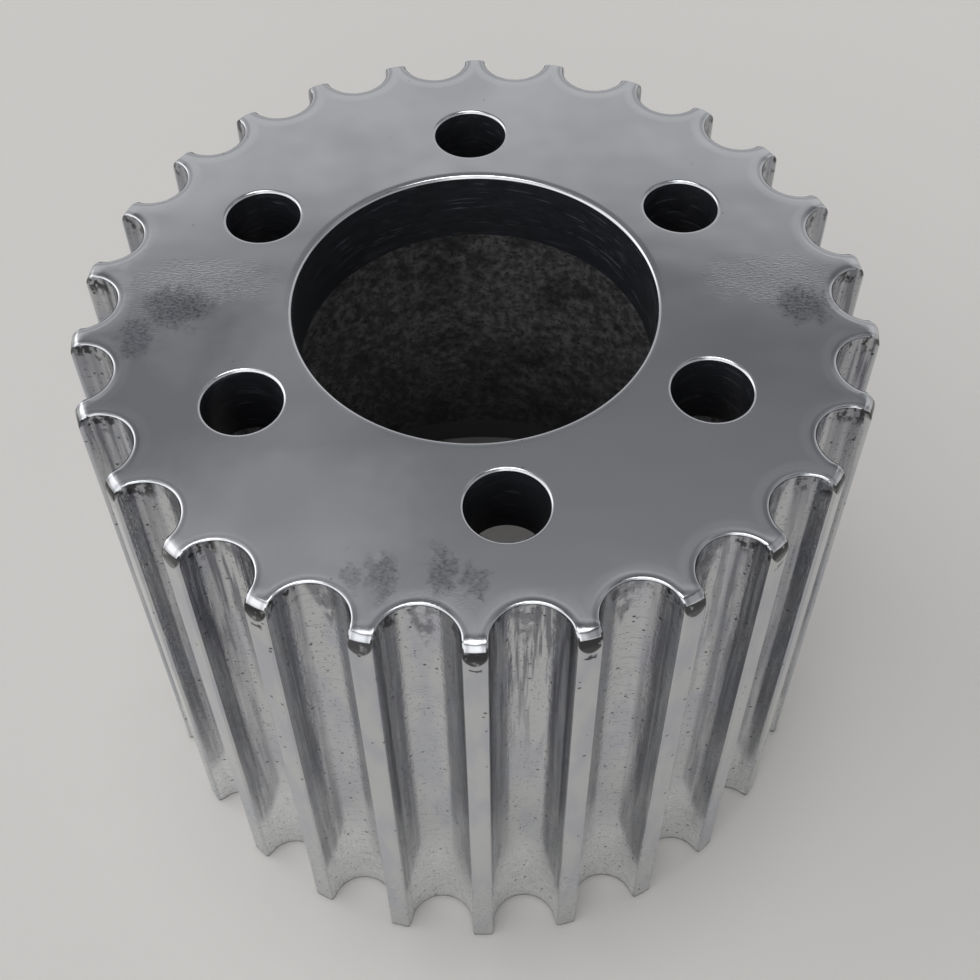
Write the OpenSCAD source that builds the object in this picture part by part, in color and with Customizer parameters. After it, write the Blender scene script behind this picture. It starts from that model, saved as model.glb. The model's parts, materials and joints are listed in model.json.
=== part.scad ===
// Toothed drive pulley for a belt-driven blower, turned and milled from one aluminium blank.
// It stands on its open back rim, with the drilled front web on top.
// The axis is +Z and the origin is the middle of the back rim. All sizes are in millimetres.

/* [Belt teeth] */
// Number of teeth
teeth = 26; // [24:1:40]
// Pitch of the belt, from tooth to tooth along its pitch line
belt_pitch = 13.9; // [13.5:0.1:17]
// Height of the belt's pitch line above the tooth tips
pitch_line_gap = 1.8; // [1:0.1:2.5]
// Radius of the round bottom of each groove
groove_r = 5.15; // [4:0.05:5.5]
// Straight stretch of each groove's flanks, from the round bottom out to the tooth tips
flank_h = 0.8; // [0.75:0.05:2]
// Round along both long edges of each tooth tip
tip_round = 0.4; // [0.2:0.05:0.5]
// Angle of a tooth's middle past the top bolt hole
tooth_phase = -1.17; // [-6.9:0.01:6.9]

/* [Body] */
// Overall length along the axis
width = 88.9; // [50:0.1:130]
// Thickness of the rim between the groove bottoms and the hollow
rim_t = 4.2; // [3:0.1:8]
// Inside corner round where the hollow meets the web
hollow_fillet = 2; // [0.5:0.5:5]
// Length of the band bored smooth inside the open mouth
mouth_band = 6; // [3:0.5:15]
// Depth of that band below the wall of the hollow
mouth_relief = 0.3; // [0.1:0.1:0.8]
// Edge break round both edges of the back rim
back_break = 0.3; // [0.1:0.1:0.6]

/* [Front face] */
// Thickness of the front web
web_t = 12; // [8:0.5:20]
// Reach of the turned front chamfer inwards, across the tooth ends
tip_chamfer_r = 1.55; // [0.5:0.05:3]
// Reach of the same chamfer along the tooth tips
tip_chamfer_z = 1.25; // [0.5:0.05:3]
// Edge break where the round of each groove meets the front face
groove_break = 0.3; // [0.1:0.05:0.6]

/* [Hub fixing] */
// Diameter of the pilot bore
bore_d = 50.8; // [30:0.1:56]
// Polished round on the front edge of the pilot bore
bore_round = 0.5; // [0.2:0.1:1.5]
// Number of bolt holes
bolt_count = 6; // [4:2:8]
// Diameter of the bolt circle
bolt_circle_d = 71.1; // [66:0.1:78]
// Diameter of the bolt clearance holes
bolt_hole_d = 10.7; // [6:0.1:13]
// Polished round on the front edge of each bolt hole
hole_round = 0.5; // [0.1:0.1:1]
// Angle by which the hole opposite the top one is moved round, so that the hub takes the pulley one way only
index_shift = 5.2; // [0:0.1:15]

/* [Hidden] */
$fn = 96;

// Overrun of a cut past the face that it leaves by
over = 1;

// How far the arc of a tip round would rise past the circle of the tips
tip_edge_rise = 0.03;

// The same at the front face, for the rounds of the bolt holes
face_rise = 0.005;

// Radii, from the tooth tips inwards
tip_r = teeth * belt_pitch / (2 * PI) - pitch_line_gap;
root_r = tip_r - flank_h - groove_r;
groove_centre_r = root_r + groove_r;
hollow_r = root_r - rim_t;
mouth_r = hollow_r + mouth_relief;
bolt_circle_r = bolt_circle_d / 2;
bolt_hole_r = bolt_hole_d / 2;
bore_r = bore_d / 2;

// Underside of the web, where the drive hub seats
web_z = width - web_t;

// Angles of the teeth and the bolt holes
top_angle = 90;
tooth_step = 360 / teeth;
bolt_step = 360 / bolt_count;
function groove_angle(i) = top_angle + tooth_phase + (i + 0.5) * tooth_step;
function bolt_angle(i) = top_angle + i * bolt_step + (i == bolt_count / 2 ? index_shift : 0);

// What a round takes off a square corner: the corner is at the origin, and the material at -x and -y
module corner_cut(r) {
    translate([-r, -r]) difference() {
        square(r + over);
        circle(r);
    }
}

// What a round leaves in a square inside corner: the corner is at the origin, and the hollow at +x and +y
module corner_fill(r) {
    difference() {
        square(r);
        translate([r, r]) circle(r);
    }
}

// Half section of the turned blank, a deep cup with a thick bored floor: radius across, length up
module blank_section() {
    difference() {
        polygon([
            [bore_r, width],
            [bore_r, web_z],
            [hollow_r, web_z],
            [hollow_r, mouth_band],
            [mouth_r, mouth_band],
            [mouth_r, back_break],
            [mouth_r + back_break, 0],
            [tip_r - back_break, 0],
            [tip_r, back_break],
            [tip_r, width - tip_chamfer_z],
            [tip_r - tip_chamfer_r, width]
        ]);
        translate([bore_r, width]) mirror([1, 0]) corner_cut(bore_round);
    }
    translate([hollow_r, web_z]) rotate(180) corner_fill(hollow_fillet);
}

module blank() {
    rotate_extrude($fn = 180) blank_section();
}

// What the round takes off one long edge of a tooth tip. Its arc leaves the straight flank of the groove
// along +X, and its centre is so far inside the circle of the tips that it meets them at a slight edge.
module tip_edge_cut() {
    centre_r = tip_r - tip_round + tip_edge_rise;
    centre_y = groove_r + tip_round;
    centre_x = sqrt(pow(centre_r, 2) - pow(centre_y, 2));
    reach = (tip_r + over) / centre_r;
    difference() {
        polygon([
            [centre_x, groove_r],
            [centre_x, centre_y],
            [centre_x * reach, centre_y * reach],
            [centre_x * reach, groove_r]
        ]);
        translate([centre_x, centre_y]) circle(tip_round);
    }
}

// Outline of one belt groove along +X: round bottom, straight flanks and rounded tip edges
module groove_outline() {
    translate([groove_centre_r, 0]) circle(groove_r);
    translate([groove_centre_r, -groove_r]) square([flank_h + over, 2 * groove_r]);
    tip_edge_cut();
    mirror([0, 1]) tip_edge_cut();
}

// One groove, milled from end to end, with a flared edge break at the front face
module groove_cut() {
    translate([0, 0, -over]) linear_extrude(width + 2 * over) groove_outline();
    translate([groove_centre_r, 0, width - groove_break])
        cylinder(r1 = groove_r, r2 = groove_r + groove_break + over, h = groove_break + over);
}

// One bolt hole through the web, on the Z axis, with a rounded front edge. The round meets the face at a
// slight edge.
module bolt_hole_cut() {
    translate([0, 0, web_z - over]) cylinder(r = bolt_hole_r, h = web_t + 2 * over);
    rotate_extrude() translate([bolt_hole_r, width + face_rise]) mirror([1, 0]) corner_cut(hole_round);
}

module pulley() {
    color("silver") difference() {
        blank();
        for (i = [0 : teeth - 1]) rotate(groove_angle(i)) groove_cut();
        for (i = [0 : bolt_count - 1])
            rotate(bolt_angle(i)) translate([bolt_circle_r, 0]) bolt_hole_cut();
    }
}

pulley();
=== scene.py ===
"""Blower pulley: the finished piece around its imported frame, with its finishes, floor, light and camera."""

import json
import math

import bpy
from mathutils import Matrix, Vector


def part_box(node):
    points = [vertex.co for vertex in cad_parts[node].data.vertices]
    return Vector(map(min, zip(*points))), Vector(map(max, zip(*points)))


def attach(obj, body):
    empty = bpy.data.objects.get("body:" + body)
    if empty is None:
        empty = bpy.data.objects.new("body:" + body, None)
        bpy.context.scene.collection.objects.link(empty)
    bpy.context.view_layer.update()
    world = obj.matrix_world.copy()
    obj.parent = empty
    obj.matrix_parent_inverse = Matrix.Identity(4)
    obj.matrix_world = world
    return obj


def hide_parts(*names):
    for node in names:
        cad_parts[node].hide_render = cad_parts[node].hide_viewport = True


bl_info = {
    "name": "Blower Pulley",
    "version": (1, 0, 0),
    "blender": (4, 5, 0),
    "location": "View3D > Sidebar > Pulley",
    "description": "Turns, mills and finishes a toothed blower pulley and sets its stage",
    "category": "Add Mesh",
}

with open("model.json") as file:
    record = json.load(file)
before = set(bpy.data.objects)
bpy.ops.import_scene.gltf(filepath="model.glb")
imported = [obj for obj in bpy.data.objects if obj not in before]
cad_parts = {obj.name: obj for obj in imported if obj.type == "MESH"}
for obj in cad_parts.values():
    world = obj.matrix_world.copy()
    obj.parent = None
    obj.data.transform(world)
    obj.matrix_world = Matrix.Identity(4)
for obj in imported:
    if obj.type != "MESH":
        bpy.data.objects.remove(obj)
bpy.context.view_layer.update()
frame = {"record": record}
LOW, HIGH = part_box("pulley")
MOUNTS = {mount["name"]: mount["dims"] for mount in frame["record"]["mounts"]}

MM = 0.001
# Two places count as the same when they are nearer than this
NEAR = 0.02 * MM
# Overrun of a cut past the face that it leaves by
OVER = 2 * MM

# Steps round the blank, round the bottom of a groove, over the rolled end of a tooth, round a bolt hole, and
# across the round of an edge of the teeth
TURN_STEPS = 208
GROOVE_STEPS = 30
NOSE_STEPS = 8
HOLE_STEPS = 72
EDGE_STEPS = 6

# Where the arc of a groove takes over from its flank, seen from the arc's centre
ARC_START = math.radians(110)
# How wide a tooth's corner stands open, against the groove's radius, and the gap between it and the arc
CORNER_FLARE = 1.002
CORNER_GAP = 0.15 * MM
# Width of the strip of the back face that is drawn with each groove
BACK_STRIP = 0.7 * MM
# The rolled end of a tooth stops short of a right angle, so that it meets the front face at an edge
NOSE_TURN = math.radians(80)
# How far a new chain of points is lifted clear of the last one while its points are set in place
LIFT = 10 * MM
# Reach of the slight roll round a bolt hole, and how far the drill's path for it ends above the face
HOLE_ROLL_REACH = 0.3 * MM
HOLE_ROLL_RISE = 0.005 * MM
# An edge of the teeth is rounded when it is sharper than this, and shading runs on across an edge that is
# less sharp than the second angle
SHARP_EDGE = math.radians(25)
SMOOTH_EDGE = math.radians(40)
# A face near the front is buffed when the upward part of its normal is over this, on a tooth's rolled end and
# elsewhere
NOSE_RISE = 0.6
FACE_RISE = 0.2
# Number of bolt holes, of which the one opposite the top one is moved round
BOLTS = 6
# Places of the pulley's materials in its list
BUFFED, GROOVES, BORE, HOLLOW = range(4)
# Width of the floor in metres, and of the camera's sensor in millimetres
FLOOR_WIDTH = 6
SENSOR_WIDTH = 36

# Marks of the front face: the middle, the half sizes, all in millimetres, and the strength of each
RIPPLED_SPOTS = [
    (-38, 4.5, 12, 5.5, 0.9),
    (-45, -3, 4, 6, 0.4),
    (41, 2.5, 10, 6, 0.8),
    (-4.5, -48.4, 5, 1.8, 0.35),
]
STAINED_SPOTS = [
    (-41.2, -0.6, 5.6, 5, 0.95),
    (-46.2, -6, 3, 4.6, 0.85),
    (45.4, -2.6, 4.6, 4.4, 0.95),
    (-11.8, -45.2, 2.2, 4, 0.7),
    (-4.9, -44.9, 1.8, 4, 0.7),
    (-0.9, -46, 2, 2.6, 0.6),
    (-15.6, -44.9, 1.5, 2.6, 0.5),
]
HAZED_SPOTS = [
    (-39.5, -9, 5, 7, 0.2),
    (-50, 4, 2, 5, 0.5),
    (-25, -36, 22, 16, 0.9),
    (-24, -14, 14, 24, 0.6),
]

# Colour of the light between the panels
SKY = "#45474B"
# Soft panels of light round the pulley: azimuth clockwise from +Y, half width, lower and upper edge and
# softness, all in degrees, then strength. The front face mirrors the far side between 35 and 60 degrees.
PANELS = [
    # Ceiling, and the lamp in it that draws the white lines on the rounds
    (0, 180, 75, 90, 2.5, 1.7),
    (0, 60, 77, 87, 2, 6.5),
    # Edge of the ceiling on the near side, and a faint strip below it on the far side
    (-140, 75, 69, 76, 3, 1.6),
    (0, 60, 59, 63, 1.5, 0.35),
    # Pale wall on the far side, and its dimmer upper part
    (0, 70, 10, 43, 2.5, 0.58),
    (0, 70, 47, 65, 6, 0.20),
    # Broad light on the left and a weak fill on the right, both on the near side
    (-120, 65, 8, 60, 10, 1.35),
    (125, 40, 8, 60, 10, 0.35),
    # Pale horizon all round
    (0, 180, -80, 10, 2.5, 0.5),
]


def linear(code):
    """The linear red, green, blue and alpha of an sRGB hex colour."""
    channels = [int(code[i : i + 2], 16) / 255 for i in (1, 3, 5)]
    return [c / 12.92 if c <= 0.04045 else ((c + 0.055) / 1.055) ** 2.4 for c in channels] + [1.0]


def sine(degrees):
    """The sine of an angle in degrees."""
    return math.sin(math.radians(degrees))


def cosine(degrees):
    """The cosine of an angle in degrees."""
    return math.cos(math.radians(degrees))


def length(name, description, default):
    """A size of the pulley that a user may change, in metres."""
    return bpy.props.FloatProperty(
        name=name, description=description, default=default, min=0, unit="LENGTH", subtype="DISTANCE",
        precision=5,
    )


def colour(name, description, code):
    """A colour that a user may change."""
    return bpy.props.FloatVectorProperty(
        name=name, description=description, default=linear(code), size=4, subtype="COLOR", min=0, max=1
    )


class PulleySizes(bpy.types.PropertyGroup):
    """Sizes of the turned blank, its grooves and its holes."""

    teeth: bpy.props.IntProperty(name="Teeth", description="Number of belt teeth", default=26, min=12)
    tooth_phase: bpy.props.FloatProperty(
        name="Tooth phase", description="Angle of a tooth's middle past the top bolt hole",
        default=math.radians(-1.17), unit="ROTATION", subtype="ANGLE",
    )
    width: length("Width", "Overall length along the axis", HIGH.z)
    tip_r: length("Tip radius", "Radius over the tooth tips", HIGH.y)
    groove_r: length("Groove radius", "Radius of each groove's round bottom", 5.15 * MM)
    flank: length("Flank", "Straight stretch of a groove's flanks", 0.8 * MM)
    rim: length("Rim", "Wall between the groove bottoms and the hollow", 4.2 * MM)
    web: length("Web", "Thickness of the front web", 12 * MM)
    fillet: length("Hollow fillet", "Inside corner round under the web", 2 * MM)
    mouth_band: length("Mouth band", "Length of the smooth band inside the open mouth", 6 * MM)
    mouth_relief: length("Mouth relief", "Depth of that band below the hollow's wall", 0.3 * MM)
    back_break: length("Back break", "Edge break round the back rim", 0.3 * MM)
    nose_reach: length("Nose reach", "Reach of the rolled tooth ends across the face", 1.3 * MM)
    nose_depth: length("Nose depth", "Reach of the rolled tooth ends along the tooth tips", 2.2 * MM)
    nose_sag: length("Nose sag", "Drop of a rolled tooth end's edges below its middle", 0.25 * MM)
    bore_r: length("Bore radius", "Radius of the pilot bore", MOUNTS["pilot_bore"]["r_mm"] * MM)
    bore_round: length("Bore round", "Polished round on the bore's front edge", 0.5 * MM)
    bolt_r: length(
        "Bolt circle radius", "Radius of the bolt circle",
        math.hypot(MOUNTS["hub_bolts"]["spacing_x_mm"], MOUNTS["hub_bolts"]["spacing_y_mm"]) / 2 * MM,
    )
    hole_r: length("Bolt hole radius", "Radius of the bolt holes", MOUNTS["hub_bolts"]["hole_r_mm"] * MM)
    hole_round: length("Hole round", "Polished round on each hole's front edge", 0.5 * MM)
    index_shift: bpy.props.FloatProperty(
        name="Index shift", description="Angle by which the front hole is moved off its even place",
        default=math.radians(5.2), unit="ROTATION", subtype="ANGLE",
    )
    mouth_round: length("Groove mouth round", "Buffed round where the grooves meet the front face", 0.28 * MM)
    nose_round: length("Nose round", "Buffed round along both edges of each tooth's rolled end", 0.4 * MM)
    tip_round: length("Tip round", "Round along both long edges of each tooth tip", 0.4 * MM)
    foot_round: length("Foot round", "Edge break round the tooth ends at the back", 0.25 * MM)
    edge_break: length("Edge break", "Small break on the edges under the web", 0.15 * MM)
    face_crown: length("Face crown", "How far buffing has rolled the front face off at its edges", 0.083 * MM)


class PulleyFinish(bpy.types.PropertyGroup):
    """Colours of the pulley's finishes."""

    buffed: colour("Buffed face", "Bright buffed aluminium of the front face", "#CACBCE")
    buffed_cloud: colour("Buffed face clouds", "Slightly duller clouds on the front face", "#C2C4C8")
    milled: colour("Milled groove", "Polished aluminium of the grooves and the teeth", "#C9CACB")
    stain: colour("Stain", "Pale bluish stain in the grooves", "#B6B9C3")
    # Also a painted reflection: the pale band round each groove mouth
    haze_and_painted_sheen: colour("Haze", "Pale haze left by the buffing wheel", "#DDDEE1")
    # Also painted brighter than the rest as a reflection of the bright floor
    satin_and_painted_sheen: colour("Satin", "Bright satin foot of the grooves", "#E6E7E8")
    # Also a painted dark reflection: the thin line round each groove mouth
    oxide_and_painted_shade: colour("Oxide", "Dull oxide on the flanks and in the stained patches", "#75767D")
    # Also painted dark reflections under the tooth ends and a painted contact shadow round the foot
    dirt_and_painted_shade: colour("Dirt", "Dirt in pits and scratches", "#2E2D2D")
    black: colour("Bore", "Dark anodised wall of the bore and the bolt holes", "#1E1F23")
    black_worn: colour("Worn bore", "Thinner, paler anodising", "#2B2D32")
    rubbed: colour("Rubbed rings", "Rings of the bore that are rubbed pale", "#6C6E74")
    hollow: colour("Hollow", "Dark oxidised wall of the hollow", "#656567")
    hollow_pale: colour("Hollow blotches", "Paler blotches of the hollow", "#A6A6A8")
    hollow_dark: colour("Hollow pits", "Darkest marks of the hollow", "#232324")


class PulleyStage(bpy.types.PropertyGroup):
    """Colour of the floor, and where the camera stands."""

    floor: colour("Floor", "Pale plain floor", "#CECCC9")
    camera_place: bpy.props.FloatVectorProperty(
        name="Camera place", description="Where the camera stands", default=(-0.00069, -0.13660, 0.22954),
        unit="LENGTH", subtype="XYZ",
    )
    azimuth: bpy.props.FloatProperty(
        name="Azimuth", description="Turn of the view about the pulley's axis", default=math.radians(-1.134),
        unit="ROTATION", subtype="ANGLE",
    )
    elevation: bpy.props.FloatProperty(
        name="Elevation", description="Angle by which the camera looks down", default=math.radians(48.484),
        unit="ROTATION", subtype="ANGLE",
    )
    roll: bpy.props.FloatProperty(
        name="Roll", description="Turn of the camera about its line of sight", default=math.radians(-0.612),
        unit="ROTATION", subtype="ANGLE",
    )
    lens: bpy.props.FloatProperty(
        name="Focal length", description="Focal length on a 36 mm sensor, in millimetres", default=51.75,
        min=1,
    )
    shift: bpy.props.FloatProperty(name="Shift", description="Upward shift of the lens", default=-0.13)


def clear_selection():
    """Leaves nothing selected, so that an operator acts on the new piece only."""
    if bpy.context.object and bpy.context.object.mode != "OBJECT":
        bpy.ops.object.mode_set(mode="OBJECT")
    bpy.ops.object.select_all(action="DESELECT")


def select_points(piece, test):
    """Selects the points of a piece whose places pass the test, and leaves the piece in edit mode."""
    bpy.ops.object.mode_set(mode="EDIT")
    bpy.ops.mesh.select_mode(type="VERT")
    bpy.ops.mesh.select_all(action="DESELECT")
    bpy.ops.object.mode_set(mode="OBJECT")
    for point in piece.data.vertices:
        point.select = test(point.co)
    bpy.ops.object.mode_set(mode="EDIT")


def select_faces(piece, test):
    """Selects the faces of a piece that pass the test, and leaves the piece in edit mode."""
    bpy.ops.object.mode_set(mode="EDIT")
    bpy.ops.mesh.select_mode(type="FACE")
    bpy.ops.mesh.select_all(action="DESELECT")
    bpy.ops.object.mode_set(mode="OBJECT")
    for face in piece.data.polygons:
        face.select = test(face)
    bpy.ops.object.mode_set(mode="EDIT")


def near(a, b):
    """Says whether two lengths are the same within the tolerance."""
    return abs(a - b) < NEAR


def drawn(name, points):
    """Draws a chain of edges from point to point, starting from one vertex, and stays in edit mode."""
    clear_selection()
    bpy.ops.mesh.primitive_plane_add(size=MM)
    piece = bpy.context.object
    piece.name = piece.data.name = name
    bpy.ops.object.mode_set(mode="EDIT")
    bpy.ops.mesh.select_mode(type="VERT")
    bpy.ops.mesh.select_all(action="SELECT")
    bpy.ops.mesh.merge(type="CENTER")
    bpy.ops.transform.translate(value=points[0])
    for start, end in zip(points, points[1:]):
        step = [e - s for s, e in zip(start, end)]
        bpy.ops.mesh.extrude_region_move(TRANSFORM_OT_translate={"value": step})
    return piece


def turned(name, section, rounds):
    """Draws a closed half section of (radius, height) points, rounds the corners that rounds gives a
    (radius, steps) pair for, and turns it about the Z axis."""
    piece = drawn(name, [(r, 0, z) for r, z in section])
    ends = (section[0], section[-1])
    select_points(piece, lambda p: any(near(p.x, r) and near(p.z, z) for r, z in ends))
    bpy.ops.mesh.edge_face_add()
    for (r, z), (radius, steps) in rounds.items():
        select_points(piece, lambda p: near(p.x, r) and near(p.z, z))
        bpy.ops.mesh.bevel(offset=radius, segments=steps, affect="VERTICES")
    bpy.ops.mesh.select_all(action="SELECT")
    bpy.ops.mesh.spin(steps=TURN_STEPS, angle=2 * math.pi, center=(0, 0, 0), axis=(0, 0, 1))
    bpy.ops.mesh.select_all(action="SELECT")
    bpy.ops.mesh.remove_doubles(threshold=NEAR / 10)
    bpy.ops.mesh.normals_make_consistent(inside=False)
    bpy.ops.object.mode_set(mode="OBJECT")
    return piece


def lofted(name, rings):
    """Draws the first of several chains of points, and pulls it on from chain to chain into a surface."""
    piece = drawn(name, rings[0])
    select_points(piece, lambda p: True)
    for old, new in zip(rings, rings[1:]):
        bpy.ops.mesh.extrude_region_move(TRANSFORM_OT_translate={"value": (0, 0, LIFT)})
        for start, end in zip(old, new):
            here = (start[0], start[1], start[2] + LIFT)
            select_points(piece, lambda p: all(near(a, b) for a, b in zip(p, here)))
            bpy.ops.transform.translate(value=[e - h for h, e in zip(here, end)])
        select_points(piece, lambda p: any(all(near(a, b) for a, b in zip(p, q)) for q in new))
    bpy.ops.mesh.select_all(action="SELECT")
    bpy.ops.mesh.flip_normals()
    bpy.ops.object.mode_set(mode="OBJECT")
    return piece


def turn_about_axis(angle):
    """Turns what is selected about the pulley's axis. With no window the operator turns clockwise."""
    bpy.ops.transform.rotate(value=-angle, orient_axis="Z", orient_type="GLOBAL", center_override=(0, 0, 0))


def copies(angles, shape):
    """Makes one piece with shape, then a copy of it turned to each angle, and returns the copies."""
    clear_selection()
    first = shape()
    made = []
    for angle in angles:
        clear_selection()
        first.select_set(True)
        bpy.context.view_layer.objects.active = first
        bpy.ops.object.duplicate(linked=False)
        turn_about_axis(angle)
        made.append(bpy.context.object)
    bpy.data.objects.remove(first)
    return made


def cut(piece, tools):
    """Cuts the tools, which don't meet each other, out of the piece, and deletes them."""
    clear_selection()
    for tool in tools:
        tool.select_set(True)
    bpy.context.view_layer.objects.active = tools[0]
    bpy.ops.object.join()
    tool = bpy.context.object
    bpy.ops.object.transform_apply(location=True, rotation=True, scale=True)
    clear_selection()
    piece.select_set(True)
    bpy.context.view_layer.objects.active = piece
    boolean = piece.modifiers.new("Cut", "BOOLEAN")
    boolean.object = tool
    boolean.operation = "DIFFERENCE"
    boolean.solver = "EXACT"
    bpy.ops.object.modifier_apply(modifier=boolean.name)
    bpy.data.objects.remove(tool)


def tooth_space(sizes):
    """The surface of one belt groove along +X, from the middle of one tooth to the middle of the next: the
    rim of the back face, the round bottom and the flanks, the rolled ends, and the roll-over of the face. The
    flanks start a little inside the true arc, so that the rounds of the tooth ends have a plain edge."""
    middle = sizes.tip_r - sizes.flank
    half = math.pi / sizes.teeth
    arc_end = (middle + sizes.groove_r * math.cos(ARC_START), sizes.groove_r * math.sin(ARC_START))
    corner_y = CORNER_FLARE * sizes.groove_r

    def outline(z, tip, inset, sag=0):
        """One chain at a height, with the tips at a radius, moved into the metal by inset. Sag is how much
        lower the edges of a tooth's end are than its middle."""
        part = (tip - arc_end[0]) / (sizes.tip_r - arc_end[0])
        y = arc_end[1] + part * (corner_y - arc_end[1]) + inset
        radius = tip - inset
        corner = (math.sqrt((radius - sag) ** 2 - y * y), y)
        end = (radius * math.cos(half), radius * math.sin(half))
        reach = sizes.groove_r + inset
        start = max(ARC_START, math.acos(min(0, corner[0] - CORNER_GAP - middle) / reach))
        bend = [start + 2 * (math.pi - start) * i / GROOVE_STEPS for i in range(GROOVE_STEPS + 1)]
        arc = [(middle + reach * math.cos(a), reach * math.sin(a)) for a in bend]
        chain = [end, corner, *arc, (corner[0], -corner[1]), (end[0], -end[1])]
        return [(x, y, z) for x, y in chain]

    nose = sizes.tip_r - sizes.nose_reach
    rings = [outline(0, sizes.tip_r, BACK_STRIP), outline(0, sizes.tip_r, 0)]
    start = sizes.width - sizes.face_crown - sizes.nose_depth * math.sin(NOSE_TURN)
    reach = sizes.nose_reach / (1 - math.cos(NOSE_TURN))
    for i in range(NOSE_STEPS + 1):
        turn = NOSE_TURN * i / NOSE_STEPS
        fall = 1 - math.cos(turn)
        height = start + sizes.nose_depth * math.sin(turn)
        rings.append(outline(height, sizes.tip_r - reach * fall, 0, sizes.nose_sag * fall))
    rings += [outline(sizes.width - drop, nose, inset, sizes.nose_sag) for inset, drop in roll_over(sizes)]
    return lofted("tooth_space", rings)


def roll_over(sizes):
    """Steps of the buffed roll-over of the front face: distance from the edge, and depth below the face."""
    return [(0.5 * MM, 0.42 * sizes.face_crown), (0.9 * MM, 0.13 * sizes.face_crown), (1.3 * MM, 0)]


def hole_cutter(sizes):
    """The drill's path for one bolt hole, on the +X axis, which widens to a round and slightly rolled rim."""
    low = sizes.width - sizes.web
    start = sizes.width - sizes.hole_round
    bpy.ops.mesh.primitive_cylinder_add(
        vertices=HOLE_STEPS, radius=sizes.hole_r, depth=start - low + OVER,
        location=(sizes.bolt_r, 0, (start + low - OVER) / 2),
    )
    bpy.ops.object.transform_apply(location=True, rotation=True, scale=True)
    tool = bpy.context.object
    select_points(tool, lambda p: p.z > start - NEAR)
    steps = [math.radians(a) for a in range(10, 90, 10)]
    rings = [(sizes.hole_round * (1 - math.cos(a)), start + sizes.hole_round * math.sin(a)) for a in steps]
    rolled = rings[-1][0] + HOLE_ROLL_REACH
    rings += [(rolled, sizes.width + HOLE_ROLL_RISE), (rolled, sizes.width + OVER)]
    reach, height = sizes.hole_r, start
    for inset, z in rings:
        bpy.ops.mesh.extrude_region_move(TRANSFORM_OT_translate={"value": (0, 0, z - height)})
        scale = (sizes.hole_r + inset) / reach
        bpy.ops.transform.resize(value=(scale, scale, 1), center_override=(sizes.bolt_r, 0, 0))
        reach, height = sizes.hole_r + inset, z
    bpy.ops.object.mode_set(mode="OBJECT")
    return tool


def bridge(piece, height):
    """Joins the open outline of the toothed rim to the edge of the turned core, at one height."""
    bpy.ops.object.mode_set(mode="EDIT")
    bpy.ops.mesh.select_mode(type="EDGE")
    bpy.ops.mesh.select_all(action="DESELECT")
    bpy.ops.object.mode_set(mode="OBJECT")
    sides = {}
    for face in piece.data.polygons:
        for key in face.edge_keys:
            sides[key] = sides.get(key, 0) + 1
    for edge in piece.data.edges:
        ends = [piece.data.vertices[i].co for i in edge.vertices]
        edge.select = sides[tuple(sorted(edge.vertices))] == 1 and all(near(p.z, height) for p in ends)
    bpy.ops.object.mode_set(mode="EDIT")
    bpy.ops.mesh.bridge_edge_loops()
    bpy.ops.object.mode_set(mode="OBJECT")


def edge_round(a, b, sizes):
    """The round that the sharp edge between two points gets, by where it lies on the toothed rim."""
    high, low = max(a.z, b.z), min(a.z, b.z)
    radii = [math.hypot(p.x, p.y) for p in (a, b)]
    if min(radii) < sizes.tip_r - sizes.flank - sizes.groove_r - NEAR:
        return 0
    if high - low > sizes.width / 2:
        return sizes.tip_round
    if near(high, 0):
        return sizes.foot_round
    return sizes.mouth_round if near(low, sizes.width - sizes.face_crown) else sizes.nose_round


def round_edges(piece, sizes):
    """Rounds the sharp edges of the teeth, each by its own width."""
    normals = {}
    for face in piece.data.polygons:
        for key in face.edge_keys:
            normals.setdefault(key, []).append(face.normal)
    widest = sizes.nose_round
    weights = piece.data.attributes.new("bevel_weight_edge", "FLOAT", "EDGE")
    for edge in piece.data.edges:
        sides = normals[tuple(sorted(edge.vertices))]
        if sides[0].angle(sides[-1]) > SHARP_EDGE:
            a, b = (piece.data.vertices[i].co for i in edge.vertices)
            weights.data[edge.index].value = edge_round(a, b, sizes) / widest
    bevel = piece.modifiers.new("Round", "BEVEL")
    bevel.width = widest
    bevel.segments = EDGE_STEPS
    bevel.limit_method = "WEIGHT"
    bevel.use_clamp_overlap = False
    bpy.ops.object.modifier_apply(modifier=bevel.name)


def smooth(piece):
    """Shades the rounds smoothly, and keeps the flat faces flat."""
    bpy.ops.object.shade_smooth_by_angle(angle=SMOOTH_EDGE)
    weighted = piece.modifiers.new("Flat faces", "WEIGHTED_NORMAL")
    weighted.keep_sharp = True
    bpy.ops.object.modifier_apply(modifier=weighted.name)


def add(tree, kind, inputs=None, **settings):
    """Adds a node. Settings are its own properties, and inputs gives its sockets a value, another node's
    socket, or another node for that node's first output."""
    made = tree.nodes.new(kind)
    for name, value in settings.items():
        setattr(made, name, value)
    for name, value in (inputs or {}).items():
        if isinstance(value, bpy.types.Node):
            value = value.outputs[0]
        if isinstance(value, bpy.types.NodeSocket):
            tree.links.new(value, made.inputs[name])
        else:
            made.inputs[name].default_value = value
    return made


def combined(tree, *parts, by="MULTIPLY"):
    """Several values taken together by one operation, which is their product unless it says otherwise. A part
    with a start and an end stands for a share that rises smoothly from 0 to 1, or to a fourth number where
    there is one, while its value goes from the start to the end."""
    total = None
    for part in parts:
        if isinstance(part, tuple):
            limits = dict(zip(("Value", "From Min", "From Max", "To Max"), part))
            part = add(tree, "ShaderNodeMapRange", limits, interpolation_type="SMOOTHSTEP")
        total = part if total is None else add(tree, "ShaderNodeMath", {0: total, 1: part}, operation=by)
    return total


def layered(tree, base, *layers):
    """A base colour with thin layers over it, each a colour and how much of it is there."""
    for over, amount in layers:
        mixed = add(tree, "ShaderNodeMix", {0: amount, 6: base, 7: over}, data_type="RGBA")
        base = mixed.outputs[2]
    return base


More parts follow.
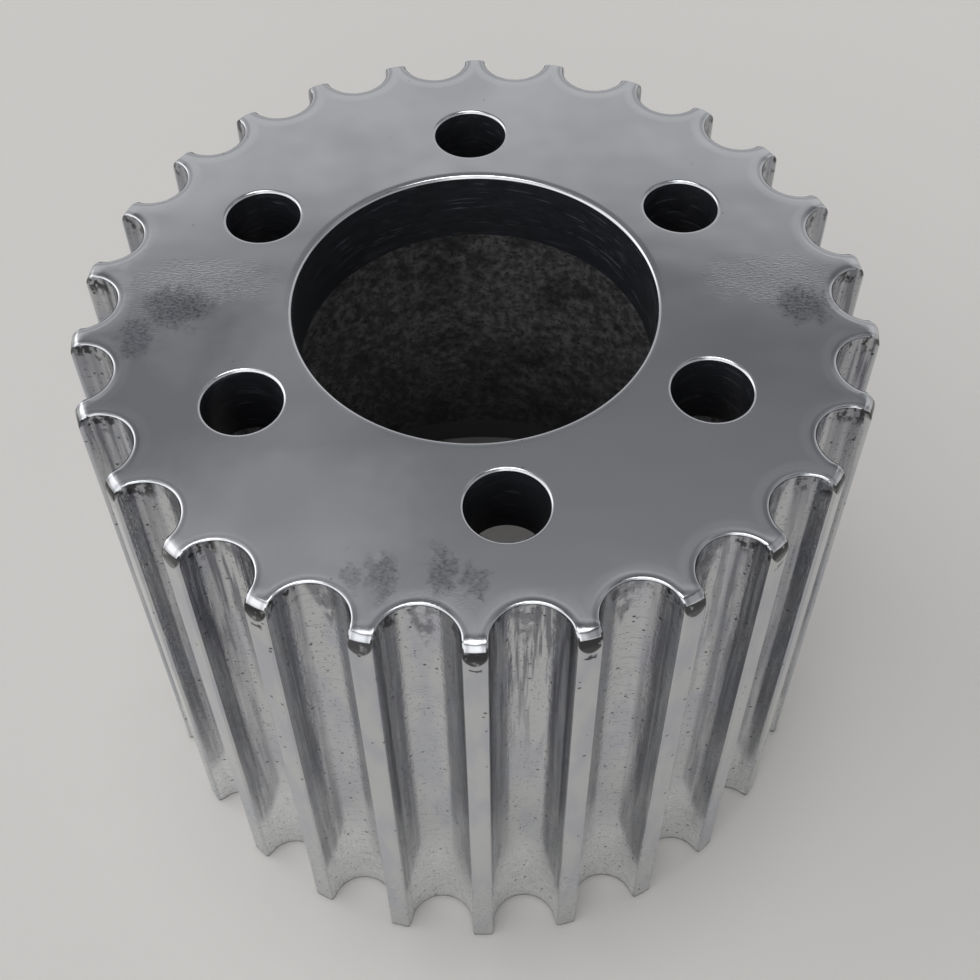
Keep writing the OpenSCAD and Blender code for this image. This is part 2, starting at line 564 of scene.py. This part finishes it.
def embossed(tree, *layers):
    """The shading of a relief in layers, the lowest first: each is a height from 0 to 1, how high 1 stands in
    metres, and how much of it is there."""
    under = {}
    for height, depth, amount in layers:
        bump = add(tree, "ShaderNodeBump", {"Height": height, "Distance": depth, "Strength": amount, **under})
        under = {"Normal": bump}
    return bump.outputs[0]


def grain(tree, place, stretch, detail=2.0):
    """Fine noise whose grain is stretched: stretch gives its steps per millimetre along each axis."""
    vector = add(tree, "ShaderNodeVectorMath", {0: place, 1: stretch}, operation="MULTIPLY")
    noise = {"Vector": vector, "Scale": 1.0, "Detail": detail, "Roughness": 0.6}
    return add(tree, "ShaderNodeTexNoise", noise)


def patches(tree, place, spots):
    """Soft uneven patches on the face: each has its middle and half sizes in millimetres, and a strength.
    Noise with steps of about 2 mm frays their edges."""
    push = grain(tree, place, (0.45, 0.45, 0.45), 4.0).outputs["Color"]
    push = add(tree, "ShaderNodeVectorMath", {0: push, 1: (0.5, 0.5, 0.5)}, operation="SUBTRACT")
    place = add(tree, "ShaderNodeVectorMath", {0: push, 1: (7, 7, 0), 2: place}, operation="MULTIPLY_ADD")
    total = 0.0
    for x, y, across, along, strength in spots:
        away = add(tree, "ShaderNodeVectorMath", {0: place, 1: (x, y, 0)}, operation="SUBTRACT")
        squeeze = (1 / across, 1 / along, 0)
        away = add(tree, "ShaderNodeVectorMath", {0: away, 1: squeeze}, operation="MULTIPLY")
        away = add(tree, "ShaderNodeVectorMath", {0: away}, operation="LENGTH").outputs["Value"]
        total = combined(tree, total, (away, 1.1, 0.4, strength), by="MAXIMUM")
    return total


def pits(tree, place, steps, size, amount):
    """Small round pits: steps per millimetre, their size against a step, and the share of steps with one."""
    cells = add(tree, "ShaderNodeTexVoronoi", {"Vector": place, "Scale": steps})
    chance = add(tree, "ShaderNodeSeparateColor", {0: cells.outputs["Color"]})
    return combined(tree, (cells.outputs["Distance"], size, 0.6 * size), (chance, 1 - amount, 1.02 - amount))


def new_material(name):
    """A new node material: its tree, its shader and places on the pulley in millimetres."""
    material = bpy.data.materials.new(name)
    material.use_nodes = True
    tree = material.node_tree
    place = add(tree, "ShaderNodeTexCoord").outputs["Object"]
    place = add(tree, "ShaderNodeVectorMath", {0: place, "Scale": 1 / MM}, operation="SCALE").outputs[0]
    return material, tree, tree.nodes["Principled BSDF"], place


def tooth_place(tree, place, sizes):
    """Where a point lies round the toothed rim: how many pitches it is past the middle of the first groove,
    its share of a pitch past the middle of the nearest groove, from -0.5 to 0.5, and its radius and its depth
    below the face in millimetres."""
    x, y, z = add(tree, "ShaderNodeSeparateXYZ", {0: place}).outputs
    angle = add(tree, "ShaderNodeMath", {0: y, 1: x}, operation="ARCTAN2")
    step = 2 * math.pi / sizes.teeth
    start = math.pi / 2 + sizes.tooth_phase + step / 2
    turns = add(tree, "ShaderNodeMath", {0: angle, 1: start}, operation="SUBTRACT")
    turns = add(tree, "ShaderNodeMath", {0: turns, 1: step}, operation="DIVIDE")
    past = add(tree, "ShaderNodeMath", {0: turns, 1: 0.5, 2: -0.5}, operation="WRAP")
    flat = add(tree, "ShaderNodeVectorMath", {0: place, 1: (1, 1, 0)}, operation="MULTIPLY")
    radius = add(tree, "ShaderNodeVectorMath", {0: flat}, operation="LENGTH").outputs["Value"]
    depth = add(tree, "ShaderNodeMath", {0: sizes.width / MM, 1: z}, operation="SUBTRACT")
    return turns, past, radius, depth


def groove_distance(tree, place, sizes):
    """How far a point of the front face is from the round of the nearest groove, in millimetres."""
    _, past, radius, _ = tooth_place(tree, place, sizes)
    turn = combined(tree, past, 2 * math.pi / sizes.teeth)
    along = add(tree, "ShaderNodeMath", {0: turn}, operation="COSINE")
    across = add(tree, "ShaderNodeMath", {0: turn}, operation="SINE")
    toward = add(tree, "ShaderNodeCombineXYZ", {0: along, 1: across})
    here = add(tree, "ShaderNodeVectorMath", {0: toward, "Scale": radius}, operation="SCALE")
    middle = ((sizes.tip_r - sizes.flank) / MM, 0, 0)
    away = add(tree, "ShaderNodeVectorMath", {0: here, 1: middle}, operation="DISTANCE").outputs["Value"]
    return add(tree, "ShaderNodeMath", {0: away, 1: sizes.groove_r / MM}, operation="SUBTRACT")


def buffed_aluminium(finish, sizes):
    """Hand-buffed aluminium of the front face. It mirrors softly, its slow waves bend what it mirrors, and
    buffing ripples, dull stained patches and clusters of small pits break up the shine. The wheel left pale
    hazy patches. A pale band round each groove mouth, with a thin dark line inside it, is a painted
    reflection of the rolled-over edge."""
    material, tree, shader, place = new_material("buffed_aluminium")
    # Clouds and waves are 10 to 14 mm apart, dents about 0.5 mm, and the wheel's ripples 0.25 mm, drawn out
    # to 0.8 mm along their length
    cloud = grain(tree, place, (0.07, 0.07, 0.07))
    waves = grain(tree, place, (0.08, 0.1, 0.1), 1.0)
    dents = grain(tree, place, (1.9, 2.6, 1.0))
    ripple = grain(tree, place, (1.3, 4.0, 1.0))
    away = groove_distance(tree, place, sizes)
    rippled = patches(tree, place, RIPPLED_SPOTS)
    hazed = patches(tree, place, HAZED_SPOTS)
    spots = patches(tree, place, STAINED_SPOTS)
    uneven = combined(tree, (dents, 0.42, 0.66, 0.5), 0.5, by="ADD")
    stained = combined(tree, spots, uneven)
    # Pits up to 0.2 mm wide crowd the stains, and single ones of up to 0.3 mm are scattered over the face
    crowded = pits(tree, place, 3.8, 0.4, 0.45)
    single = pits(tree, place, 0.35, 0.05, 0.4)
    base = layered(
        tree, finish.buffed,
        (finish.buffed_cloud, combined(tree, (cloud, 0.35, 0.7))),
        (finish.haze_and_painted_sheen, hazed),
        # Painted reflection of the rolled-over edge: a pale band from 0.6 to 2.6 mm round each groove mouth,
        # and a thin dark line inside it
        (finish.haze_and_painted_sheen, combined(tree, (away, 0.6, 1.3), (away, 2.6, 1.6, 0.4), (cloud, 0.3, 0.5))),
        (finish.oxide_and_painted_shade, combined(tree, (away, 0.3, 0.5), (away, 1, 0.6, 0.3))),
        (finish.oxide_and_painted_shade, stained),
        (finish.dirt_and_painted_shade, combined(tree, crowded, (spots, 0.05, 0.6), (dents, 0.38, 0.55), 0.7)),
        (finish.dirt_and_painted_shade, combined(tree, single, 0.7)),
    )
    # Polished on the whole, and a little duller in the clouds, the stains and the hazy patches
    duller = (combined(tree, stained, 0.05), combined(tree, hazed, 0.07))
    rough = combined(tree, 0.13, (cloud, 0.3, 0.7, 0.05), *duller, by="ADD")
    relief = embossed(
        tree,
        (waves, 0.055 * MM, 1.0),
        (ripple, 0.028 * MM, rippled),
        (dents, 0.02 * MM, stained),
    )
    tree.links.new(base, shader.inputs["Base Color"])
    shader.inputs["Metallic"].default_value = 1.0
    tree.links.new(rough.outputs[0], shader.inputs["Roughness"])
    tree.links.new(relief, shader.inputs["Normal"])
    return material


def polished_grooves(finish, sizes):
    """Milled and polished aluminium of the grooves and the teeth. The round bottoms mirror the floor as a
    bright strip, the flanks are duller and streaked, specks, hairlines and stains lie over both, and the foot
    is satiny and painted brighter as a reflection of the bright floor, with a painted contact shadow as a
    dark line round it. A dark crescent and a short dash under each tooth's rolled end are painted dark
    reflections, and the buffing wheel left dark marks at the groove mouths."""
    material, tree, shader, place = new_material("polished_grooves")
    turns, past, radius, depth = tooth_place(tree, place, sizes)
    aside = add(tree, "ShaderNodeMath", {0: past}, operation="ABSOLUTE")
    # Chances from 0 to 1 that differ from groove to groove and from tooth to tooth
    groove = add(tree, "ShaderNodeMath", {0: turns, 1: past}, operation="SUBTRACT")
    groove = add(tree, "ShaderNodeTexWhiteNoise", {"W": groove}, noise_dimensions="1D")
    tooth = add(tree, "ShaderNodeMath", {0: turns}, operation="FLOOR")
    tooth = add(tree, "ShaderNodeTexWhiteNoise", {"W": tooth}, noise_dimensions="1D")
    # The grooves below the tooth tips, and the tips themselves
    tips, foot = sizes.tip_r / MM, sizes.width / MM
    inside = combined(tree, (radius, tips - 0.25, tips - 0.7))
    on_tip = combined(tree, (radius, tips - 1.2, tips - 0.5))
    # The dull flanks are the outer half of each groove. From 66 mm down they narrow to points, and the satin
    # foot takes over.
    low = add(tree, "ShaderNodeMath", {0: depth, 1: 66.0}, operation="SUBTRACT")
    low = add(tree, "ShaderNodeMath", {0: low, 1: 0.0}, operation="MAXIMUM")
    narrowed = add(tree, "ShaderNodeMath", {0: low, 1: -0.013, 2: aside}, operation="MULTIPLY_ADD")
    flank = combined(tree, (narrowed, 0.22, 0.28), inside)
    # The foot from 58 mm down is satiny, and its colour is painted brighter as a reflection of the bright
    # floor
    satin_and_painted_sheen = combined(tree, (depth, 58, 74))
    # Stains about 5 mm wide and 14 mm long, streaks 1 mm apart, mottling 1.3 mm and specks 0.4 mm across. A
    # polisher's hairlines are finer than 0.1 mm, and are drawn 0.3 mm apart so that they show.
    stain = grain(tree, place, (0.22, 0.22, 0.07))
    streak = grain(tree, place, (1.1, 1.1, 0.05), 3.0)
    hairs = grain(tree, place, (0.4, 0.4, 3.4), 3.0)
    mottle = grain(tree, place, (0.8, 0.8, 0.5), 3.0)
    speckle = grain(tree, place, (2.6, 2.6, 2.2))
    # Pits up to 0.6 mm wide all over, and ones of up to 0.3 mm in the grooves only
    small = combined(tree, pits(tree, place, 1.9, 0.27, 0.2), inside)
    holes = combined(tree, pits(tree, place, 0.7, 0.2, 0.24), small, by="MAXIMUM")
    # Dull tongue at each groove mouth, which narrows to nothing 11 mm down
    tongue = add(tree, "ShaderNodeMath", {0: depth, 1: 0.022, 2: aside}, operation="MULTIPLY_ADD")
    # Painted dark reflection: a crescent under a tooth's rolled end, down to 3.5 mm in its middle
    bow = add(tree, "ShaderNodeMath", {0: aside, 1: -11.3, 2: 5.65}, operation="MULTIPLY_ADD")
    bow = add(tree, "ShaderNodeMath", {0: bow, 1: bow, 2: depth}, operation="MULTIPLY_ADD")
    crescent = combined(tree, (bow, 3.5, 3.1), on_tip, (aside, 0.36, 0.4), (tooth, -1.0, 0.3))
    # Painted dark reflection too: a short wavy dash below the crescent, on most teeth
    wavy = add(tree, "ShaderNodeMath", {0: mottle, 1: 2.5, 2: depth}, operation="MULTIPLY_ADD")
    dash = combined(tree, (wavy, 5.2, 5.5), (wavy, 6.1, 5.7), (aside, 0.43, 0.46), on_tip, (tooth, 0.2, 0.4))
    marks = combined(tree, crescent, dash, by="MAXIMUM")
    base = layered(
        tree, finish.milled,
        (finish.stain, combined(tree, (stain, 0.42, 0.62, 0.6))),
        # Brighter foot: satiny, and a painted reflection of the bright floor
        (finish.satin_and_painted_sheen, combined(tree, satin_and_painted_sheen, inside)),
        (finish.oxide_and_painted_shade, combined(tree, flank, (streak, 0.15, 0.7, 0.7))),
        (finish.oxide_and_painted_shade, combined(tree, (tongue, 0.24, 0.17), inside, (mottle, 0.36, 0.56, 0.8))),
        # Dark streaks of some grooves, which fade towards the foot
        (finish.oxide_and_painted_shade, combined(tree, (streak, 0.48, 0.6), (groove, 0.5, 0.75), inside, (depth, 50, 5, 0.9))),
        (finish.dirt_and_painted_shade, combined(tree, (speckle, 0.6, 0.72, 0.75), (mottle, 0.42, 0.6), inside)),
        (finish.oxide_and_painted_shade, combined(tree, (hairs, 0.55, 0.7, 0.3), inside)),
        (finish.dirt_and_painted_shade, combined(tree, holes, 0.85)),
        # Painted dark reflections: the crescent and the dash under the tooth ends
        (finish.dirt_and_painted_shade, combined(tree, marks, (mottle, 0.25, 0.45, 0.94))),
        # Smudges on the flanks at the top, and a painted contact shadow: a dark line round the foot
        (finish.dirt_and_painted_shade, combined(tree, (depth, 4.5, 1.5), flank, (mottle, 0.5, 0.6, 0.9))),
        (finish.dirt_and_painted_shade, combined(tree, (depth, foot - 0.6, foot - 0.3, 0.75))),
    )
    # Bright and smooth in the bottoms, duller on the flanks and dullest at the foot
    duller = (combined(tree, satin_and_painted_sheen, 0.18), combined(tree, flank, 0.08))
    rough = combined(tree, *duller, (mottle, 0.3, 0.7, 0.06), 0.08, by="ADD")
    relief = embossed(
        tree,
        (streak, 0.02 * MM, 1.0),
        (mottle, 0.03 * MM, 1.0),
        (hairs, 0.008 * MM, 1.0),
        (speckle, 0.02 * MM, inside),
    )
    tree.links.new(base, shader.inputs["Base Color"])
    shader.inputs["Metallic"].default_value = 1.0
    tree.links.new(rough.outputs[0], shader.inputs["Roughness"])
    tree.links.new(relief, shader.inputs["Normal"])
    return material


def black_anodised_bore(finish):
    """Dark anodised wall of the bore and the bolt holes: almost black, with fine turned rings that catch a
    little light, and a few arcs rubbed pale."""
    material, tree, shader, place = new_material("black_anodised_bore")
    # The feed marks of a finishing cut are about 0.1 mm apart, and are drawn 0.3 mm apart so that they show
    rings = grain(tree, place, (0.1, 0.1, 3.2), 4.0)
    blotch = grain(tree, place, (0.3, 0.3, 0.8), 2.0)
    base = layered(
        tree, finish.black,
        (finish.black_worn, combined(tree, (blotch, 0.2, 0.8, 0.6))),
        (finish.rubbed, combined(tree, (rings, 0.56, 0.68, 0.55), (blotch, 0.42, 0.6))),
    )
    tree.links.new(base, shader.inputs["Base Color"])
    shader.inputs["Roughness"].default_value = 0.35
    tree.links.new(embossed(tree, (rings, 0.07 * MM, 1.0), (blotch, 0.03 * MM, 1.0)), shader.inputs["Normal"])
    return material


def mottled_hollow(finish, sizes):
    """Dark oxidised wall of the hollow, blotched grey and black and slightly pitted, with a smoother turned
    band at the open mouth."""
    material, tree, shader, place = new_material("mottled_hollow")
    height = add(tree, "ShaderNodeSeparateXYZ", {0: place}).outputs["Z"]
    band = sizes.mouth_band / MM
    # Broad clouds 11 mm apart, blotches 1.7 mm and pits 0.7 mm
    broad = grain(tree, place, (0.09, 0.09, 0.09), 2.0)
    blotch = grain(tree, place, (0.6, 0.6, 0.6), 4.0)
    fine = grain(tree, place, (1.4, 1.4, 1.4))
    rough_wall = combined(tree, (height, band, band + 0.4))
    mottled = layered(
        tree, finish.hollow,
        (finish.hollow_pale, combined(tree, (blotch, 0.36, 0.7))),
        (finish.hollow_dark, combined(tree, (fine, 0.5, 0.66, 0.6))),
        (finish.hollow_dark, combined(tree, (broad, 0.5, 0.62, 0.45))),
        # Darker towards the open bottom, from 40 mm down to 5 mm
        (finish.hollow_dark, combined(tree, (height, 40, 5, 0.6))),
    )
    tree.links.new(layered(tree, finish.hollow, (mottled, rough_wall)), shader.inputs["Base Color"])
    shader.inputs["Roughness"].default_value = 0.6
    tree.links.new(embossed(tree, (fine, 0.1 * MM, rough_wall)), shader.inputs["Normal"])
    return material


class PULLEY_OT_body(bpy.types.Operator):
    """Turn the blank, mill its grooves, drill its holes, round its edges and finish its faces"""

    bl_idname = "pulley.body"
    bl_label = "Turn and Mill the Pulley"

    def execute(self, context):
        sizes, finish = context.scene.pulley_sizes, context.scene.pulley_finish
        root_r = sizes.tip_r - sizes.flank - sizes.groove_r
        hollow_r = root_r - sizes.rim
        mouth_r = hollow_r + sizes.mouth_relief
        web_z = sizes.width - sizes.web
        seam_r = (hollow_r + root_r) / 2
        roll = [(sizes.bore_r + inset, sizes.width - drop) for inset, drop in roll_over(sizes)]
        section = [
            (sizes.bore_r, sizes.width - sizes.face_crown),
            (sizes.bore_r, web_z),
            (hollow_r, web_z),
            (hollow_r, sizes.mouth_band),
            (mouth_r, sizes.mouth_band),
            (mouth_r, 0),
            (seam_r, 0),
            (seam_r, sizes.width),
            *reversed(roll),
        ]
        rounds = {
            section[0]: (sizes.bore_round, 10),
            (sizes.bore_r, web_z): (sizes.edge_break, 3),
            (hollow_r, web_z): (sizes.fillet, 8),
            (mouth_r, 0): (sizes.back_break, 3),
        }
        pulley = turned("pulley_metal", section, rounds)
        top = math.radians(90)
        holes = [top + math.radians(360 / BOLTS * i) for i in range(BOLTS)]
        holes[BOLTS // 2] += sizes.index_shift
        cut(pulley, copies(holes, lambda: hole_cutter(sizes)))
        select_faces(pulley, lambda face: near(math.hypot(face.center.x, face.center.y), seam_r))
        bpy.ops.mesh.delete(type="FACE")
        bpy.ops.object.mode_set(mode="OBJECT")
        step = math.radians(360 / sizes.teeth)
        grooves = [top + sizes.tooth_phase + (i + 0.5) * step for i in range(sizes.teeth)]
        spaces = copies(grooves, lambda: tooth_space(sizes))
        clear_selection()
        for space in spaces:
            space.select_set(True)
        pulley.select_set(True)
        bpy.context.view_layer.objects.active = pulley
        bpy.ops.object.join()
        select_points(pulley, lambda p: True)
        bpy.ops.mesh.remove_doubles(threshold=NEAR / 10)
        bpy.ops.object.mode_set(mode="OBJECT")
        bridge(pulley, 0)
        bridge(pulley, sizes.width)
        select_points(pulley, lambda p: True)
        bpy.ops.mesh.normals_make_consistent(inside=False)
        bpy.ops.object.mode_set(mode="OBJECT")
        round_edges(pulley, sizes)
        smooth(pulley)
        pulley.data.materials.append(buffed_aluminium(finish, sizes))
        pulley.data.materials.append(polished_grooves(finish, sizes))
        pulley.data.materials.append(black_anodised_bore(finish))
        pulley.data.materials.append(mottled_hollow(finish, sizes))
        for face in pulley.data.polygons:
            r = math.hypot(face.center.x, face.center.y)
            z = face.center.z
            rise = NOSE_RISE if r > sizes.tip_r - sizes.nose_reach else FACE_RISE
            if face.normal.z > rise and z > sizes.width - sizes.nose_depth:
                face.material_index = BUFFED
            elif r > seam_r:
                face.material_index = GROOVES
            elif z > web_z + NEAR:
                face.material_index = BORE
            else:
                face.material_index = HOLLOW
        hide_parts("pulley")
        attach(pulley, "root")
        return {"FINISHED"}


class PULLEY_OT_stage(bpy.types.Operator):
    """Lay the pale floor, set the soft light and place the camera"""

    bl_idname = "pulley.stage"
    bl_label = "Set the Stage"

    def execute(self, context):
        look = context.scene.pulley_stage
        clear_selection()
        bpy.ops.mesh.primitive_plane_add(size=FLOOR_WIDTH, location=(0, 0, 0))
        floor = context.object
        floor.name = "floor"
        floor.data.materials.append(self.floor_paint(look.floor))
        self.light(context.scene)
        lens = bpy.data.cameras.new("camera")
        lens.lens = look.lens
        lens.sensor_width = SENSOR_WIDTH
        lens.shift_y = look.shift
        lens.clip_start = MM
        camera = bpy.data.objects.new("camera", lens)
        context.scene.collection.objects.link(camera)
        camera.location = look.camera_place
        camera.rotation_euler = (
            Matrix.Rotation(look.azimuth, 3, "Z")
            @ Matrix.Rotation(math.radians(90) - look.elevation, 3, "X")
            @ Matrix.Rotation(look.roll, 3, "Z")
        ).to_euler()
        context.scene.camera = camera
        context.scene.view_settings.view_transform = "Standard"
        return {"FINISHED"}

    def floor_paint(self, base):
        """Matt pale sheet under the pulley."""
        material = bpy.data.materials.new("pale_sheet")
        material.use_nodes = True
        shader = material.node_tree.nodes["Principled BSDF"]
        shader.inputs["Base Color"].default_value = base
        shader.inputs["Roughness"].default_value = 0.9
        shader.inputs["Specular IOR Level"].default_value = 0.1
        return material

    def light(self, scene):
        """Soft light from all round: an even sky with broad soft panels in it."""
        world = bpy.data.worlds.new("studio")
        scene.world = world
        world.use_nodes = True
        tree = world.node_tree
        tree.nodes.clear()
        direction = add(tree, "ShaderNodeTexCoord").outputs["Generated"]
        up = add(tree, "ShaderNodeSeparateXYZ", {0: direction}).outputs["Z"]
        level = add(tree, "ShaderNodeVectorMath", {0: direction, 1: (1, 1, 0)}, operation="MULTIPLY")
        level = add(tree, "ShaderNodeVectorMath", {0: level}, operation="NORMALIZE")
        total = 0.0
        for azimuth, half, bottom, top, soft, strength in PANELS:
            parts = [(up, sine(bottom - soft), sine(bottom + soft), strength)]
            if top < 90:
                parts.append((up, sine(top + soft), sine(top - soft)))
            if half < 180:
                toward = {0: level, 1: (sine(azimuth), cosine(azimuth), 0)}
                side = add(tree, "ShaderNodeVectorMath", toward, operation="DOT_PRODUCT").outputs["Value"]
                parts.append((side, cosine(min(180, half + 2 * soft)), cosine(half)))
            total = combined(tree, total, combined(tree, *parts), by="ADD")
        glow = add(tree, "ShaderNodeVectorMath", {0: linear(SKY)[:3], 1: total}, operation="ADD")
        background = add(tree, "ShaderNodeBackground", {"Color": glow, "Strength": 1.0})
        add(tree, "ShaderNodeOutputWorld", {"Surface": background.outputs[0]})


class PULLEY_PT_panel(bpy.types.Panel):
    """The pulley's sizes and colours, with its steps"""

    bl_idname = "PULLEY_PT_panel"
    bl_label = "Blower Pulley"
    bl_space_type = "VIEW_3D"
    bl_region_type = "UI"
    bl_category = "Pulley"

    def draw(self, context):
        for operator in OPERATORS:
            self.layout.operator(operator.bl_idname)
        for name in GROUPS:
            group = getattr(context.scene, name)
            box = self.layout.box()
            for prop in group.bl_rna.properties.keys():
                if prop not in ("rna_type", "name"):
                    box.prop(group, prop)


OPERATORS = (PULLEY_OT_stage, PULLEY_OT_body)
GROUPS = {"pulley_sizes": PulleySizes, "pulley_finish": PulleyFinish, "pulley_stage": PulleyStage}
CLASSES = (*GROUPS.values(), *OPERATORS, PULLEY_PT_panel)


def register():
    for one in CLASSES:
        bpy.utils.register_class(one)
    for name, group in GROUPS.items():
        setattr(bpy.types.Scene, name, bpy.props.PointerProperty(type=group))


def unregister():
    for name in GROUPS:
        delattr(bpy.types.Scene, name)
    for one in reversed(CLASSES):
        bpy.utils.unregister_class(one)


def main():
    register()
    bpy.ops.pulley.stage()
    bpy.ops.pulley.body()


if __name__ == "__main__":
    main()
